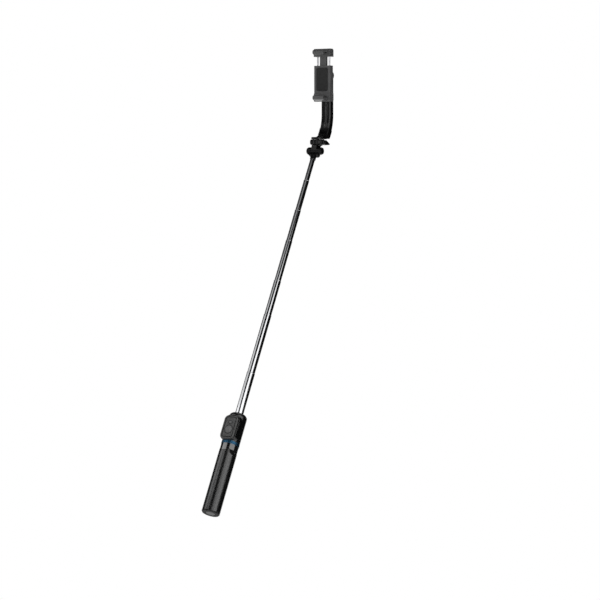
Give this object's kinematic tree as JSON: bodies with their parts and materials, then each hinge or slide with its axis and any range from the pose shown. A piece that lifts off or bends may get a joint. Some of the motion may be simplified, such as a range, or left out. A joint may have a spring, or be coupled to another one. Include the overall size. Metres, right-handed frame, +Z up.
{
  "type": "selfie stick",
  "caption": "Hand-held telescopic stick with a round handle that folds out into legs, a pull-out remote, a chromed pole, and a tilting, panning and rolling sprung phone clamp.",
  "frame": {"origin": "centre of the handle's lower end face", "axes": "+Z up the handle and pole; -Y is the front, where the remote sits; +X is the object's right as seen from the front"},
  "size_m": [0.03, 0.1049, 0.8068],
  "materials": {
    "tube_black": "satin moulded",
    "crown_gloss": "polished",
    "hinge_black": "matte",
    "steel": "fine turned",
    "trim_blue": "anodised look",
    "housing_black": "semi gloss",
    "grip_black": "semi matte",
    "rubber": "matte",
    "remote_grey": "semi gloss",
    "panel_grey": "satin",
    "button_grey": "satin",
    "board_green": "lacquered",
    "chrome": "polished",
    "bush_brass": "dull",
    "head_black": "satin moulded",
    "arm_black": "satin",
    "clamp_black": "satin moulded"
  },
  "bodies": {
    "core": {"core_tube": "tube_black", "core_plug": "remote_grey", "crown": "crown_gloss", "hinge_lugs": "hinge_black", "leg_pins": "steel", "trim_ring": "trim_blue", "cradle": "housing_black", "rear_cover": "housing_black"},
    "leg_left": {"leg_left": "grip_black", "foot_left": "rubber"},
    "leg_right": {"leg_right": "grip_black", "foot_right": "rubber"},
    "leg_rear": {"leg_rear": "grip_black", "foot_rear": "rubber"},
    "remote": {"remote_back": "remote_grey", "battery_lid": "remote_grey", "remote_face": "remote_grey", "key_panel": "panel_grey", "remote_board": "board_green", "coin_cell": "steel", "key_domes": "steel"},
    "shutter": {"shutter_button": "button_grey"},
    "mode": {"mode_key": "button_grey"},
    "stage_1": {"pole_1": "chrome", "bushes_1": "bush_brass"},
    "stage_2": {"pole_2": "chrome", "bushes_2": "bush_brass"},
    "stage_3": {"pole_3": "chrome", "bushes_3": "bush_brass"},
    "stage_4": {"pole_4": "chrome", "bushes_4": "bush_brass"},
    "stage_5": {"pole_5": "chrome", "bushes_5": "bush_brass"},
    "stage_6": {"pole_6": "chrome", "bushes_6": "bush_brass"},
    "stage_7": {"pole_7": "chrome", "bushes_7": "bush_brass", "pole_head": "head_black", "pitch_screw": "steel", "pitch_cap": "head_black", "pitch_nut": "head_black"},
    "swivel": {"tongue": "head_black", "pan_pin": "steel", "pan_disc": "head_black", "lever_pin": "steel"},
    "lever": {"lock_lever": "head_black"},
    "arm": {"arm_foot": "head_black", "arm_front": "arm_black", "arm_rear": "arm_black", "arm_pivot": "arm_black", "arm_screws": "steel"},
    "clamp": {"clamp_housing": "clamp_black", "roll_shaft": "steel", "back_pad": "rubber", "lower_jaw": "clamp_black", "lower_pad": "rubber"},
    "jaw": {"upper_jaw": "clamp_black", "upper_pad": "rubber", "jaw_rods": "steel", "jaw_springs": "steel"}
  },
  "joints": [
    {"name": "leg_left_fold", "type": "hinge", "parent": "core", "child": "leg_left", "pos_m": [-0.00935, -0.0054, 0.1017], "axis": [-0.5, 0.866, 0], "range_deg": [0, 65]},
    {"name": "leg_right_fold", "type": "hinge", "parent": "core", "child": "leg_right", "pos_m": [0.00935, -0.0054, 0.1017], "axis": [-0.5, -0.866, 0], "range_deg": [0, 65]},
    {"name": "leg_rear_fold", "type": "hinge", "parent": "core", "child": "leg_rear", "pos_m": [0, 0.0108, 0.1017], "axis": [1, 0, 0], "range_deg": [0, 65]},
    {"name": "pole_1_slide", "type": "slide", "parent": "core", "child": "stage_1", "axis": [0, 0, 1], "range_m": [-0.0684, 0.0381]},
    {"name": "pole_2_slide", "type": "slide", "parent": "stage_1", "child": "stage_2", "axis": [0, 0, 1], "range_m": [-0.1001, 0.0064]},
    {"name": "pole_3_slide", "type": "slide", "parent": "stage_2", "child": "stage_3", "axis": [0, 0, 1], "range_m": [-0.0584, 0.0481]},
    {"name": "pole_4_slide", "type": "slide", "parent": "stage_3", "child": "stage_4", "axis": [0, 0, 1], "range_m": [-0.0701, 0.0364]},
    {"name": "pole_5_slide", "type": "slide", "parent": "stage_4", "child": "stage_5", "axis": [0, 0, 1], "range_m": [-0.0533, 0.0532]},
    {"name": "pole_6_slide", "type": "slide", "parent": "stage_5", "child": "stage_6", "axis": [0, 0, 1], "range_m": [-0.0532, 0.0533]},
    {"name": "pole_7_slide", "type": "slide", "parent": "stage_6", "child": "stage_7", "axis": [0, 0, 1], "range_m": [-0.0399, 0.0606]},
    {"name": "head_pitch", "type": "hinge", "parent": "stage_7", "child": "swivel", "pos_m": [0, 0, 0.645], "axis": [1, 0, 0], "range_deg": [-85, 50]},
    {"name": "head_pan", "type": "hinge", "parent": "swivel", "child": "arm", "pos_m": [0, 0, 0.662], "axis": [0, -0.5128, 0.8585], "continuous": true},
    {"name": "lock_lever_swing", "type": "hinge", "parent": "swivel", "child": "lever", "pos_m": [0, 0.01341, 0.66978], "axis": [-1, 0, 0], "range_deg": [0, 45]},
    {"name": "clamp_roll", "type": "hinge", "parent": "arm", "child": "clamp", "pos_m": [0, -0.0486, 0.7615], "axis": [0, -0.8585, -0.5128], "range_deg": [-90, 90]},
    {"name": "jaw_slide", "type": "slide", "parent": "clamp", "child": "jaw", "axis": [0, -0.5128, 0.8585], "range_m": [-0.014, 0.012], "deforming": ["jaw_springs"]},
    {"name": "remote_pull", "type": "slide", "parent": "core", "child": "remote", "axis": [0, -1, 0], "range_m": [0, 0.03]},
    {"name": "shutter_press", "type": "slide", "parent": "remote", "child": "shutter", "axis": [0, 1, 0], "range_m": [0, 0.0004], "stiffness_N_per_m": 900},
    {"name": "mode_press", "type": "slide", "parent": "remote", "child": "mode", "axis": [0, 1, 0], "range_m": [0, 0.0004], "stiffness_N_per_m": 900}
  ]
}
